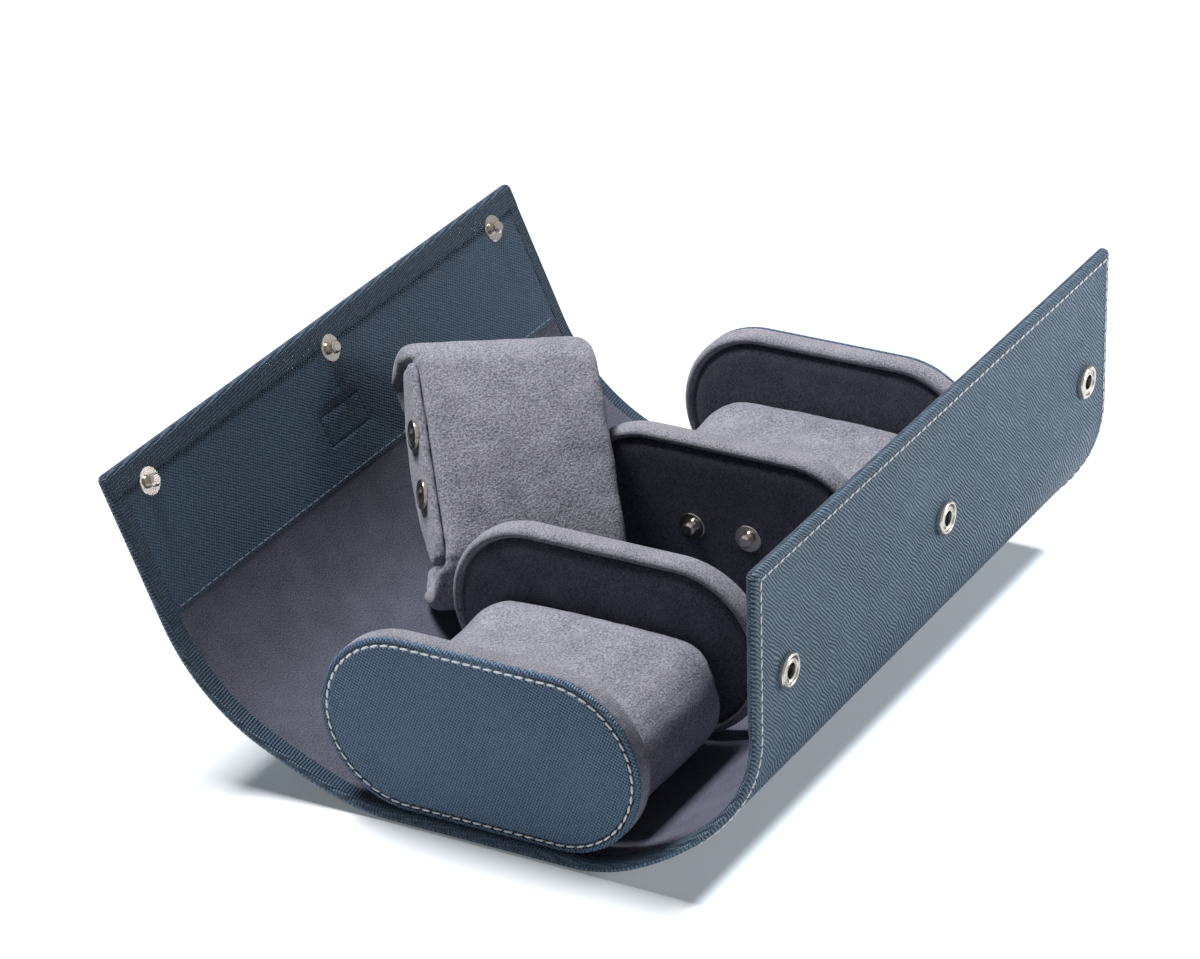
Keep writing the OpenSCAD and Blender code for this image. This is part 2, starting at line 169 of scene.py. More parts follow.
class CaseColours(bpy.types.PropertyGroup):
    """Colours of the leathers, the suedes and the threads"""

    # Valley colours are painted shade in the outer leather's grain, and ridge colours are painted highlights on it
    leather_valley: colour("Leather, valleys", "Dye in the valleys of the outer leather", "#162a40")
    leather_ridge_highlight: colour("Leather, ridges", "Ridges of the outer leather", "#7790a6")
    leather_worn: colour("Leather, worn", "Patches of the outer leather that hands have polished", "#6f889b")
    # Valley colours are painted shade in the facing's grain, and ridge colours are painted highlights on it
    facing_valley: colour("Facing, valleys", "Dye in the valleys of the outer flap's facing", "#18273a")
    facing_ridge_highlight: colour("Facing, ridges", "Ridges of the outer flap's facing", "#4d667d")
    facing_worn: colour("Facing, worn", "Polished patches of the outer flap's facing", "#48627b")
    # Valley colours are painted shade in the hems' grain, and ridge colours are painted highlights on it
    hem_valley: colour("Hem, valleys", "Dye in the valleys of the turned hems", "#17273a")
    hem_ridge_highlight: colour("Hem, ridges", "Ridges of the turned hems", "#4c647a")
    hem_worn: colour("Hem, worn", "Polished patches of the turned hems", "#435b70")
    # Valley colours are painted shade in the end panels' grain, and ridge colours are painted highlights on it
    panel_valley: colour("End panels, valleys", "Dye in the valleys of the end panels' leather", "#182f49")
    panel_ridge_highlight: colour("End panels, ridges", "Ridges of the end panels' leather", "#7493b2")
    panel_worn: colour("End panels, worn", "Polished patches of the end panels' leather", "#6b8aa6")
    lining_shade: colour("Lining, shade", "Between the fibres of the lining", "#343644")
    lining_light: colour("Lining, light", "Tips of the lining's fibres", "#727485")
    divider_shade: colour("Dividers, shade", "Between the fibres of the dividers' suede", "#64646f")
    divider_light: colour("Dividers, light", "Tips of the fibres of the dividers' suede", "#b7b6c1")
    pad_shade: colour("Pads, shade", "Between the fibres of the dividers' pads", "#3c3c4a")
    pad_light: colour("Pads, light", "Tips of the fibres of the dividers' pads", "#7a7a8a")
    cuff_shade: colour("Cuffs, shade", "Between the fibres of the cuffs", "#5c5c68")
    cuff_light: colour("Cuffs, light", "Tips of the cuffs' fibres", "#b2b1bd")
    thread_shade: colour("Thread, shade", "Between the plies of the thread", "#efeeea")
    thread_light: colour("Thread, light", "The plies of the thread", "#ffffff")
    seam_shade: colour("Seam's thread, shade", "Between the plies of the facing's thread", "#6f7884")
    seam_light: colour("Seam's thread, light", "The plies of the facing's thread", "#9aa2ac")


# ---------------------------------------------------------------- materials

def add(tree, kind, settings=None, inputs=None):
    """Add a node: settings are its own properties, and inputs are values or sockets by name or number."""
    node = tree.nodes.new(kind)
    for key, value in (settings or {}).items():
        setattr(node, key, value)
    for key, value in (inputs or {}).items():
        if isinstance(value, bpy.types.NodeSocket):
            tree.links.new(value, node.inputs[key])
        else:
            node.inputs[key].default_value = value
    return node


def new_material(name):
    """A material with one Principled shader and its tree."""
    material = bpy.data.materials.new(name)
    material.use_nodes = True
    return material, material.node_tree, material.node_tree.nodes["Principled BSDF"]


def millimetres(tree, order, turn=0.0):
    """Coordinates in mm, turned about their third axis: the UV map for the flat pattern, or the object's own
    in the given order of axes."""
    coordinates = add(tree, "ShaderNodeTexCoord")
    source = coordinates.outputs["UV" if order == "UV" else "Object"]
    if order == "YZX":
        x, y, z = add(tree, "ShaderNodeSeparateXYZ", {}, {0: source}).outputs
        source = add(tree, "ShaderNodeCombineXYZ", {}, {0: y, 1: z, 2: x}).outputs[0]
    rotation, scale = (0, 0, math.radians(turn)), (1 / MM, 1 / MM, 1 / MM)
    return add(tree, "ShaderNodeMapping", {"vector_type": "POINT"},
               {"Vector": source, "Rotation": rotation, "Scale": scale}).outputs[0]


def tones(key, *parts):
    """The colours of a finish, such as its valleys and its ridges, as the panel has them."""
    colours = bpy.context.scene.case_colours
    return [tuple(getattr(colours, f"{key}_{part}")) for part in parts]


def blended(tree, factor, dark, pale):
    """A colour between two by a factor."""
    return add(tree, "ShaderNodeMix", {"data_type": "RGBA"}, {0: factor, 6: dark, 7: pale}).outputs[2]


def ranged(tree, value, low, high, start=0.0, end=1.0):
    """A value taken from low to high on to start to end."""
    return add(tree, "ShaderNodeMapRange", {},
               {"Value": value, "From Min": low, "From Max": high, "To Min": start, "To Max": end}).outputs[0]


def raised(tree, shader, height, depth, strength=1.0):
    """Give a shader the relief of a height, depth in mm."""
    bump = add(tree, "ShaderNodeBump", {}, {"Height": height, "Distance": depth * MM, "Strength": strength})
    tree.links.new(bump.outputs[0], shader.inputs["Normal"])


def boarded_leather(name, key, order, turn, depth, pitch, crossing, waviness):
    """Calf leather boarded by hand: the grain side is rolled on itself, which leaves long wavy ridges about
    1 mm apart, crossed by a second, finer set. The ridges are painted lighter as a painted highlight, and the
    valleys darker as painted shade. turn is the ridges' direction in degrees, depth and pitch are in mm, and
    crossing is the second set's share."""
    material, tree, shader = new_material(name)
    flat = millimetres(tree, order, turn)
    # A wave texture's own period is pi / 10 of its scaled coordinate
    scale = math.pi / 10 / pitch
    ridges = add(tree, "ShaderNodeTexWave", {"bands_direction": "Y"},
                 {"Vector": flat, "Scale": scale, "Distortion": waviness,
                  "Detail": 2.0, "Detail Scale": 0.4, "Detail Roughness": 0.5})
    finer = add(tree, "ShaderNodeTexWave", {"bands_direction": "X"},
                {"Vector": flat, "Scale": scale / 1.15, "Distortion": waviness / 2,
                 "Detail": 2.5, "Detail Scale": 0.7, "Detail Roughness": 0.6})
    pores = add(tree, "ShaderNodeTexNoise", {}, {"Vector": flat, "Scale": 1.7, "Detail": 2.0})
    woven = add(tree, "ShaderNodeMath", {"operation": "MULTIPLY_ADD"},
                {0: finer.outputs["Fac"], 1: crossing, 2: ridges.outputs["Fac"]})
    relief = add(tree, "ShaderNodeMath", {"operation": "MULTIPLY_ADD"},
                 {0: pores.outputs["Fac"], 1: 0.9, 2: woven.outputs[0]}).outputs[0]
    bottom, top = 0.35, 1.45 + crossing * 0.75
    valley, ridge_highlight, worn = tones(key, "valley", "ridge_highlight", "worn")
    # Painted shade in the valleys and a painted highlight on the ridges, by the relief
    painted_grain = blended(tree, ranged(tree, relief, bottom, top), valley, ridge_highlight)
    cloud = add(tree, "ShaderNodeTexNoise", {}, {"Vector": flat, "Scale": 0.04, "Detail": 3.0})
    patch = ranged(tree, cloud.outputs["Fac"], 0.42, 0.75, 0, 0.3)
    tree.links.new(blended(tree, patch, painted_grain, worn), shader.inputs["Base Color"])
    tree.links.new(ranged(tree, relief, bottom, top, 0.66, 0.46), shader.inputs["Roughness"])
    raised(tree, shader, relief, depth)
    shader.inputs["IOR"].default_value = 1.46
    return material


def suede(name, key, order, nap, sheen):
    """Microfibre suede: short split fibres brushed to a nap, matt and speckled, with soft lighter and darker
    strokes and a rim of sheen. Its fibres are too fine to show, so they are drawn as clumps, about nap of them
    to a mm."""
    material, tree, shader = new_material(name)
    flat = millimetres(tree, order)
    fibres = add(tree, "ShaderNodeTexNoise", {},
                 {"Vector": flat, "Scale": nap, "Detail": 3.0, "Roughness": 0.7})
    strokes = add(tree, "ShaderNodeTexNoise", {},
                  {"Vector": flat, "Scale": 0.1, "Detail": 3.0, "Roughness": 0.5})
    brushed = add(tree, "ShaderNodeMath", {"operation": "MULTIPLY_ADD"},
                  {0: strokes.outputs["Fac"], 1: 0.22, 2: fibres.outputs["Fac"]}).outputs[0]
    shade, light = tones(key, "shade", "light")
    tree.links.new(blended(tree, ranged(tree, brushed, 0.43, 0.78), shade, light), shader.inputs["Base Color"])
    raised(tree, shader, brushed, 0.5, 0.9)
    shader.inputs["Roughness"].default_value = 0.95
    shader.inputs["Specular IOR Level"].default_value = 0.15
    shader.inputs["Sheen Weight"].default_value = sheen
    shader.inputs["Sheen Roughness"].default_value = 0.45
    shader.inputs["Sheen Tint"].default_value = (0.86, 0.85, 0.93, 1)
    return material


def waxed_thread(name, key):
    """Waxed linen thread, two plies, a little shine from the wax."""
    material, tree, shader = new_material(name)
    flat = millimetres(tree, "XYZ")
    plies = add(tree, "ShaderNodeTexNoise", {}, {"Vector": flat, "Scale": 2.2, "Detail": 2.0}).outputs["Fac"]
    shade, light = tones(key, "shade", "light")
    tree.links.new(blended(tree, plies, shade, light), shader.inputs["Base Color"])
    raised(tree, shader, plies, 0.1)
    shader.inputs["Roughness"].default_value = 0.55
    return material


def polished_nickel():
    """Nickel-plated brass: a warm mirror with faint wear that breaks the highlights."""
    material, tree, shader = new_material("polished_nickel")
    flat = millimetres(tree, "XYZ")
    wear = add(tree, "ShaderNodeTexNoise", {}, {"Vector": flat, "Scale": 1.2, "Detail": 4.0}).outputs["Fac"]
    tree.links.new(blended(tree, wear, srgb("#cfc6bd"), srgb("#e2dcd4")), shader.inputs["Base Color"])
    tree.links.new(ranged(tree, wear, 0, 1, 0.12, 0.26), shader.inputs["Roughness"])
    shader.inputs["Metallic"].default_value = 1.0
    return material


def socket_shade_material():
    """Painted shade inside a snap's socket: a dark disc in blackened-steel colours where the bore lies out of the
    light.
    """
    material, _, shader = new_material("painted_socket_shade")
    shader.inputs["Base Color"].default_value = srgb("#231f1d")
    shader.inputs["Roughness"].default_value = 0.4
    shader.inputs["Metallic"].default_value = 0.6
    return material


def fibre_board():
    """Pressed grey-brown board with short fibres."""
    material, tree, shader = new_material("fibre_board")
    flat = millimetres(tree, "XYZ")
    fibres = add(tree, "ShaderNodeTexNoise", {}, {"Vector": flat, "Scale": 0.9, "Detail": 5.0}).outputs["Fac"]
    tree.links.new(blended(tree, fibres, srgb("#857459"), srgb("#b39f7f")), shader.inputs["Base Color"])
    shader.inputs["Roughness"].default_value = 0.9
    return material


def white_sweep():
    """Matt white paper on the floor. Beyond a strip on the right of the case and far from the case, a painted
    glow, which only the camera sees, lights the paper to white and paints out the case's shadow there; nearer
    the case a faint painted glow lifts the shadow."""
    studio = bpy.context.scene.studio_sizes
    material, tree, shader = new_material("white_sweep")
    shader.inputs["Base Color"].default_value = srgb("#e9edf0")
    shader.inputs["Roughness"].default_value = 0.9
    shader.inputs["Specular IOR Level"].default_value = 0.1
    flat = millimetres(tree, "XYZ")
    y = add(tree, "ShaderNodeSeparateXYZ", {}, {0: flat}).outputs[1]
    reach = add(tree, "ShaderNodeVectorMath", {"operation": "LENGTH"}, {0: flat}).outputs["Value"]
    soft, white = {"interpolation_type": "SMOOTHSTEP"}, 1.4
    # Painted glow: white past the shadow strip, which paints out the shadow there, and a faint lift of the shadow
    # before it
    strip = add(tree, "ShaderNodeMapRange", soft,
                {"Value": y, "From Min": studio.shadow_end - 7, "From Max": studio.shadow_end,
                 "To Min": white, "To Max": studio.shadow})
    far = add(tree, "ShaderNodeMapRange", soft,
              {"Value": reach, "From Min": 350.0, "From Max": 600.0, "To Max": white})
    level = add(tree, "ShaderNodeMath", {"operation": "MAXIMUM"}, {0: strip.outputs[0], 1: far.outputs[0]})
    glow = add(tree, "ShaderNodeEmission", {}, {"Color": srgb("#e8f2fa"), "Strength": level.outputs[0]})
    both = add(tree, "ShaderNodeAddShader", {}, {0: shader.outputs[0], 1: glow.outputs[0]})
    path = add(tree, "ShaderNodeLightPath")
    seen = add(tree, "ShaderNodeMixShader", {},
               {0: path.outputs["Is Camera Ray"], 1: shader.outputs[0], 2: both.outputs[0]})
    tree.links.new(seen.outputs[0], tree.nodes["Material Output"].inputs["Surface"])
    return material


# What makes each finish, by the key that a piece asks for it with
MAKERS = {
    "leather": lambda: boarded_leather(
        "boarded_leather", "leather", "UV", turn=46, depth=0.36, pitch=0.95, crossing=0.2, waviness=8),
    "facing": lambda: boarded_leather(
        "boarded_facing", "facing", "UV", turn=35, depth=0.2, pitch=0.9, crossing=0.8, waviness=3),
    "hem": lambda: boarded_leather(
        "turned_leather", "hem", "UV", turn=84, depth=0.4, pitch=0.8, crossing=0.9, waviness=5),
    "panel": lambda: boarded_leather(
        "boarded_panel", "panel", "YZX", turn=68, depth=0.26, pitch=0.8, crossing=0.8, waviness=1.6),
    "lining": lambda: suede("lining_suede", "lining", "UV", nap=2.0, sheen=0.25),
    "divider": lambda: suede("divider_suede", "divider", "XYZ", nap=2.0, sheen=0.3),
    "pad": lambda: suede("pad_suede", "pad", "XYZ", nap=2.0, sheen=0.25),
    "cuff": lambda: suede("cuff_suede", "cuff", "XYZ", nap=1.6, sheen=0.35),
    "thread": lambda: waxed_thread("waxed_thread", "thread"),
    "seam": lambda: waxed_thread("grey_waxed_thread", "seam"),
    "nickel": polished_nickel,
    # Painted shade for the bores under the sockets
    "bore_shade": socket_shade_material,
    "board": fibre_board,
    "floor": white_sweep,
}
MADE = {}


def finish_for(key):
    """The material for that key, made once."""
    if key not in MADE:
        MADE[key] = MAKERS[key]()
    return MADE[key]


# ---------------------------------------------------------------- the rolled pattern

# All in mm. Where a plate has its lines: from a rounded border inwards, from a hem's inner edge outwards on to
# the hem, and to both sides of the middle of a bore under a socket
BORDER = (0, 0.12, 0.35, 0.7, 1.1, 1.5, 2.0)
HEM_EDGE = (1.2, 0.5, 0.22, 0.06, 0, -0.03, -0.4)
BORE = (-2.55, -2.35, -1.7, -0.9, 0, 0.9, 1.7, 2.35, 2.55)
BORE_RADIUS, BORE_DEPTH = 2.4, 1.0
# How far apart the lines are across a flat part and across a fold
FLAT_STEP, FOLD_STEP = 2.5, 0.9
# How far the first and the last fold's pieces reach on to the flat base and flap
REACH = 10
# How far the lining and the facing go in under a hem, and how thick they are
TUCK, LINING = 0.04, 1.0
# How much lower the hems lie where the inner flap's side closes round the end panels
LOWERED = 0.45


def side_joints(side):
    """The five folds of one side, from the base outwards."""
    by_name = {j["name"]: j for j in frame["joints"]}
    return [by_name[f"{side}_wrap_close"]] + [by_name[f"{side}_fold_{n}"] for n in range(2, 6)]


class Roll:
    """The inner face of one side of the wrap as a path in mm: half a flat base, four arcs and a flat flap."""

    def __init__(self, side, flap):
        self.side = side
        self.sign = 1 if side == "left" else -1
        self.joints = side_joints(side)
        self.folds = [(abs(j["pos_m"][1]) / MM, j["pos_m"][2] / MM) for j in self.joints]
        self.headings, self.radii, self.starts = [0.0], [], [self.folds[0][0]]
        for (y0, z0), (y1, z1) in zip(self.folds, self.folds[1:]):
            turn = 2 * (math.atan2(z1 - z0, y1 - y0) - self.headings[-1])
            radius = math.hypot(y1 - y0, z1 - z0) / (2 * math.sin(turn / 2))
            self.radii.append(radius)
            self.starts.append(self.starts[-1] + radius * turn)
            self.headings.append(self.headings[-1] + turn)
        self.end = self.starts[-1] + flap
        middles = [(a + b) / 2 for a, b in zip(self.starts, self.starts[1:])]
        # A piece of the wrap runs from the middle of one strip to the middle of the next
        self.cuts = [self.starts[0] - REACH] + middles + [self.starts[-1] + REACH, self.end]

    def place(self, x, s, t):
        """The point of the flat pattern at (x, s), t below the inner face, rolled into the case, in metres."""
        if s <= self.starts[0]:
            y, z = s, self.folds[0][1] - t
        elif s >= self.starts[4]:
            heading, run = self.headings[4], s - self.starts[4]
            y = self.folds[4][0] + run * math.cos(heading) + t * math.sin(heading)
            z = self.folds[4][1] + run * math.sin(heading) - t * math.cos(heading)
        else:
            k = max(n for n in range(4) if s >= self.starts[n])
            radius, start = self.radii[k], self.headings[k]
            heading = start + (s - self.starts[k]) / radius
            y = self.folds[k][0] + (radius + t) * math.sin(heading) - radius * math.sin(start)
            z = self.folds[k][1] - (radius + t) * math.cos(heading) + radius * math.cos(start)
        return Vector((x, self.sign * y, z)) * MM

    def settle(self, obj, n):
        """Every piece but the last keeps its place, baked into its mesh, and the last one rides on the flap."""
        if n > 5:
            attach(obj, f"{self.side}_flap")
            return
        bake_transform(obj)


def rolls():
    """Both sides of the wrap."""
    sizes = bpy.context.scene.case_sizes
    return {"left": Roll("left", sizes.left_flap), "right": Roll("right", sizes.right_flap)}


def spaced(start, end, step):
    """Evenly spaced lines from start to end, about step apart."""
    count = max(1, math.ceil((end - start) / step - 1e-6))
    return [start + (end - start) * n / count for n in range(count + 1)]


def merged(*groups):
    """All lines of the groups in order, without near doubles."""
    near = 0.015
    lines = []
    for value in sorted(v for group in groups for v in group):
        if not lines or value - lines[-1] > near:
            lines.append(value)
    return lines


def plate(name, us, vs, depths, place, finishes, pick=None, borders=()):
    """A closed plate with quads on the pattern's lines: a grid extruded to its other face, then put in place.
    depths gives both faces' depth at (u, v), and borders names the ends that the next piece carries on."""
    bm = bmesh.new()
    front = bmesh.ops.create_grid(bm, x_segments=len(us) - 1, y_segments=len(vs) - 1, size=0.5)["verts"]
    made = bmesh.ops.extrude_face_region(bm, geom=list(bm.faces))["geom"]
    flat = {}
    for group, side in ((front, 0), ([v for v in made if isinstance(v, bmesh.types.BMVert)], 1)):
        for vert in group:
            u = us[round((vert.co.x + 0.5) * (len(us) - 1))]
            v = vs[round((vert.co.y + 0.5) * (len(vs) - 1))]
            flat[vert] = (u, v, side)
    uv = bm.loops.layers.uv.new("UVMap")
    for face in bm.faces:
        corners = [flat[v] for v in face.verts]
        for loop in face.loops:
            u, v, _ = flat[loop.vert]
            loop[uv].uv = (u * MM, v * MM)
        sides = {c[2] for c in corners}
        if pick:
            face.material_index = pick(sum(c[0] for c in corners) / 4, sum(c[1] for c in corners) / 4, sides)
        if len(sides) == 2 and any(all(abs(c[1] - b) < 0.01 for c in corners) for b in borders):
            for edge in face.edges:
                edge.smooth = False
        face.smooth = True
    for vert, (u, v, side) in flat.items():
        vert.co = place(u, v, depths(u, v)[side])
    bmesh.ops.recalc_face_normals(bm, faces=bm.faces)
    return new_piece(name, bm, finishes)


def new_piece(name, bm, finishes):
    """Turn a bmesh into a piece at the origin with its materials."""
    mesh = bpy.data.meshes.new(name)
    bm.to_mesh(mesh)
    bm.free()
    obj = bpy.data.objects.new(name, mesh)
    bpy.context.scene.collection.objects.link(obj)
    for key in finishes:
        mesh.materials.append(finish_for(key))
    return obj


def smoothstep(value):
    """0 below 0, 1 above 1, and a smooth rise between."""
    value = min(max(value, 0), 1)
    return value * value * (3 - 2 * value)


def rounding(inset, radius):
    """How far a rounded edge falls away at this distance from its border."""
    left = radius - min(max(inset, 0), radius)
    return radius - math.sqrt(radius * radius - left * left)


def cornered(x, s, half, end, radius):
    """Pull the square corner of a flap in to an arc."""
    a, b = radius - (half - abs(x)), radius - (end - s)
    if a <= 0 or b <= 0:
        return x, s
    share = max(a, b) / math.hypot(a, b)
    return math.copysign(half - radius + a * share, x), end - radius + b * share


def across_lines(sizes, inset):
    """Lines along X for a plate of the wrap: close together at its hems, wider between."""
    half, pocket = sizes.half_length, sizes.half_length - sizes.hem
    middle = spaced(3 - pocket, pocket - 3, 5.0)
    if inset:
        edge = [pocket + TUCK - e for e in (0, 0.2, 0.6)]
    else:
        edge = [half - e for e in BORDER] + [pocket + e for e in (2.2, *HEM_EDGE)]
    return merged([way * e for way in (-1, 1) for e in edge], middle)


def socket_places(roll):
    """Where the sockets lie on the inner flap's pattern, in mm: distance along it, and three places along X."""
    low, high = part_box("right_snap_sockets")
    reach = (high[0] - low[0]) / 2 / MM - bpy.context.scene.case_sizes.socket_radius
    s = roll.starts[4] + ((low[2] + high[2]) / 2 / MM - roll.folds[4][1]) / math.sin(roll.headings[4])
    return s, (-reach, 0.0, reach)


def leather_depths(sizes, end, edge_hem, low_hem=None, bores=None):
    """Depths of the leather: its hems stand over the lining, its middle lies under it, and its border is
    rounded. low_hem is the stretch of folds that close round the end panels, and bores are where sockets lie."""
    fade = 5

    def depths(x, s):
        side, tip = sizes.half_length - abs(x), end - s
        into_pocket = min(side - sizes.hem, tip - edge_hem)
        # The outer flap's wide hem stands higher at its tip
        proud = sizes.proud * (1.5 if tip < edge_hem == sizes.left_hem else 1)
        if low_hem:
            proud -= LOWERED * smoothstep((s - low_hem[0]) / fade) * smoothstep((low_hem[1] - s) / fade)
        top = sizes.pocket if into_pocket > 0.01 else -proud + rounding(-into_pocket, 0.5)
        fall = rounding(min(side, tip), sizes.rounding)
        under_socket = bores and min(math.hypot(x - b, s - bores[0]) for b in bores[1]) < BORE_RADIUS
        return top + fall, sizes.thickness - fall - (BORE_DEPTH if under_socket else 0)
    return depths


def on_base(x, s, t):
    """The point of the flat pattern at (x, s), t below the inner face, on the base, in metres."""
    return Vector((x, s, bpy.context.scene.case_sizes.thickness - t)) * MM


def build_leather():
    """The outer leather with its turned hems, one piece for the base, each fold and each flap."""
    sizes = bpy.context.scene.case_sizes
    across = across_lines(sizes, False)
    both = rolls()
    first = both["left"].cuts[0]

    def hem_or_outside(x, s, sides):
        return 0 if sides == {1} else 1

    base = plate("base_wrap", across, spaced(-first, first, FLAT_STEP), leather_depths(sizes, math.inf, 0),
                 on_base, ("leather", "hem"), hem_or_outside, (-first, first))
    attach(base, "base")
    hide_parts("base_leather")
    for side, roll in both.items():
        edge_hem = sizes.left_hem if side == "left" else sizes.hem
        folds = (roll.starts[0] + 2, roll.starts[4] + 4) if side == "right" else None
        bores = socket_places(roll) if side == "right" else None
        depths = leather_depths(sizes, roll.end, edge_hem, folds, bores)
        for n in range(1, 7):
            low, high = roll.cuts[n - 1], roll.cuts[n]
            columns = across
            if n < 6:
                name, lines, borders = f"{side}_fold_{n}_wrap", spaced(low, high, FOLD_STEP), (low, high)
                point = roll.place
            else:
                tip = [high - e for e in BORDER] + [high - edge_hem + e for e in (3.6, 2.4, *HEM_EDGE)]
                name, lines, borders = f"{side}_flap_wrap", spaced(low, high - edge_hem - 2, FLAT_STEP), (low,)
                lines = merged(lines, tip)
                if bores:
                    lines = merged(lines, [bores[0] + e for e in BORE])
                    columns = merged(across, [b + e for b in bores[1] for e in BORE])

                def point(x, s, t, roll=roll):
                    x, s = cornered(x, s, sizes.half_length, roll.end, sizes.corner)
                    return roll.place(x, s, t)
            piece = plate(name, columns, lines, depths, point, ("leather", "hem"), hem_or_outside, borders)
            roll.settle(piece, n)
            if n < 5:
                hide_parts(f"{side}_bend_{n}_leather")
            elif n == 6:
                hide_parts(f"{side}_flap_leather")


def build_lining():
    """The suede lining in its pocket, split over the folds as the leather is."""
    sizes = bpy.context.scene.case_sizes
    across = across_lines(sizes, True)
    both = rolls()
    first = both["left"].cuts[0]

    def depths(x, s):
        return 0, LINING

    base = plate("base_suede", across, spaced(-first, first, FLAT_STEP), depths,
                 on_base, ("lining",), None, (-first, first))
    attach(base, "base")
    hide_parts("base_lining")
    for side, roll in both.items():
        for n in range(1, 7):
            low, high = roll.cuts[n - 1], roll.cuts[n]
            if side == "left" and n == 6:
                continue
            if side == "left" and n == 5:
                high = roll.starts[4] + 0.8
            if n == 6:
                high = roll.end - sizes.hem + TUCK
            name, step = (f"{side}_fold_{n}_suede", FOLD_STEP) if n < 6 else ("right_flap_suede", 3.0)
            lines = spaced(low, high, step)
            piece = plate(name, across, lines, depths, roll.place, ("lining",), None, (low, high))
            roll.settle(piece, n)
            if n < 5:
                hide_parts(f"{side}_bend_{n}_lining")
            elif n == 6:
                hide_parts("right_flap_lining")


# Corners of the blank rectangle pressed into the outer flap's facing, (x, distance past the last fold), the
# depths of the groove round it and of its middle, and half the groove's width, all in mm
BLANK = ((-16.7, 11.4), (3.7, 20.8))
GROOVE, SUNK, HALF_GROOVE = 0.45, 0.1, 0.4


def build_facing():
    """The leather facing on the inside of the outer flap, with a blank rectangle pressed into it."""
    sizes = bpy.context.scene.case_sizes
    roll = rolls()["left"]
    start, end = roll.starts[4] + 0.15, roll.end - sizes.left_hem + TUCK
    (x0, s0), (x1, s1) = BLANK
    s0, s1 = s0 + roll.starts[4], s1 + roll.starts[4]
    near = (-HALF_GROOVE, -0.16, 0, 0.16, HALF_GROOVE)
    across = merged(across_lines(sizes, True), [x + e for x in (x0, x1) for e in near])
    lines = [start, start + 0.15, start + 0.4] + [s + e for s in (s0, s1) for e in near]
    lines = merged(lines, spaced(start + 1.4, end, 3.0))
    proud = 0.12

    def depths(x, s):
        inside = min(x - x0, x1 - x, s - s0, s1 - s)
        groove = GROOVE * max(0.0, 1 - abs(inside) / HALF_GROOVE)
        middle = SUNK if inside > 0 else 0
        return max(groove, middle) + rounding(s - start, 0.4) - proud, LINING

    piece = plate("left_flap_facing_leather", across, lines, depths, roll.place, ("facing",))
    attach(piece, "left_flap")
    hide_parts("left_flap_facing")


# ---------------------------------------------------------------- stitching

def add_stitch(bm, sizes, place):
    """One stitch: a slim rounded pill whose points place() puts on the work."""
    made = bmesh.ops.create_uvsphere(bm, u_segments=6, v_segments=5, radius=0.5)["verts"]
    for vert in made:
        along = vert.co.z * sizes.stitch_length
        # A little fuller than an ellipsoid at its ends, and flatter than it is wide
        swell = (1 - (2 * abs(vert.co.z)) ** 4) ** 0.5 if abs(vert.co.z) < 0.499 else 0
        girth = math.hypot(vert.co.x, vert.co.y)
        width = sizes.stitch_width * (swell / (2 * girth) if girth > 1e-6 else 0)
        vert.co = place(along, vert.co.x * width, vert.co.y * width * 0.8)


def finish_stitches(name, bm, finish="thread"):
    """A row of stitches as one smooth piece."""
    for face in bm.faces:
        face.smooth = True
    bmesh.ops.recalc_face_normals(bm, faces=bm.faces)
    return new_piece(name, bm, (finish,))


def build_wrap_stitches():
    """Rows of thread round the outside of the wrap, and along the seam between facing and lining."""
    sizes = bpy.context.scene.case_sizes
    edge = sizes.half_length - sizes.stitch_inset
    out, slant = sizes.thickness + 0.08, 0.06

    def halfway(start, end):
        """The middles of the stitches of a row."""
        count = round((end - start) / sizes.stitch_pitch)
        return [start + (k + 0.5) * (end - start) / count for k in range(count)]

    def row(roll, low, high, name):
        """The stitches of a piece from low to high along the pattern."""
        bm = bmesh.new()
        last = roll.end - sizes.stitch_inset
        for s in halfway(0, last):
            for x in (-edge, edge) if low <= s < high else ():
                add_stitch(bm, sizes, lambda a, b, c: roll.place(x + b + slant * a, s + a, out + c))
        for x in halfway(-edge, edge) if high >= roll.end else ():
            add_stitch(bm, sizes, lambda a, b, c: roll.place(x + a, last + b + slant * a, out + c))
        return finish_stitches(name, bm)

    for side, roll in rolls().items():
        base = row(roll, 0, roll.cuts[0], f"{side}_base_stitches")
        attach(base, "base")
        for n in range(1, 7):
            low, high = roll.cuts[n - 1], roll.cuts[n] + (1 if n == 6 else 0)
            piece = row(roll, low, high, f"{side}_{n}_stitches")
            roll.settle(piece, n)
    roll = rolls()["left"]
    bm = bmesh.new()
    # The seam's thread is thinner, and its middle lies just under the facing's proud surface
    inset, thin, depth = 1.5, 0.6, -0.08
    inner, along = sizes.half_length - sizes.hem - inset, roll.starts[4] + inset
    for x in halfway(-inner, inner):
        add_stitch(bm, sizes, lambda a, b, c: roll.place(x + a, along + b * thin, depth + c * thin))
    seam = finish_stitches("left_facing_stitches", bm, "seam")
    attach(seam, "left_flap")


# ---------------------------------------------------------------- dividers

# Radius of the innermost ring of an oval's flat faces, in mm
INNER = 2


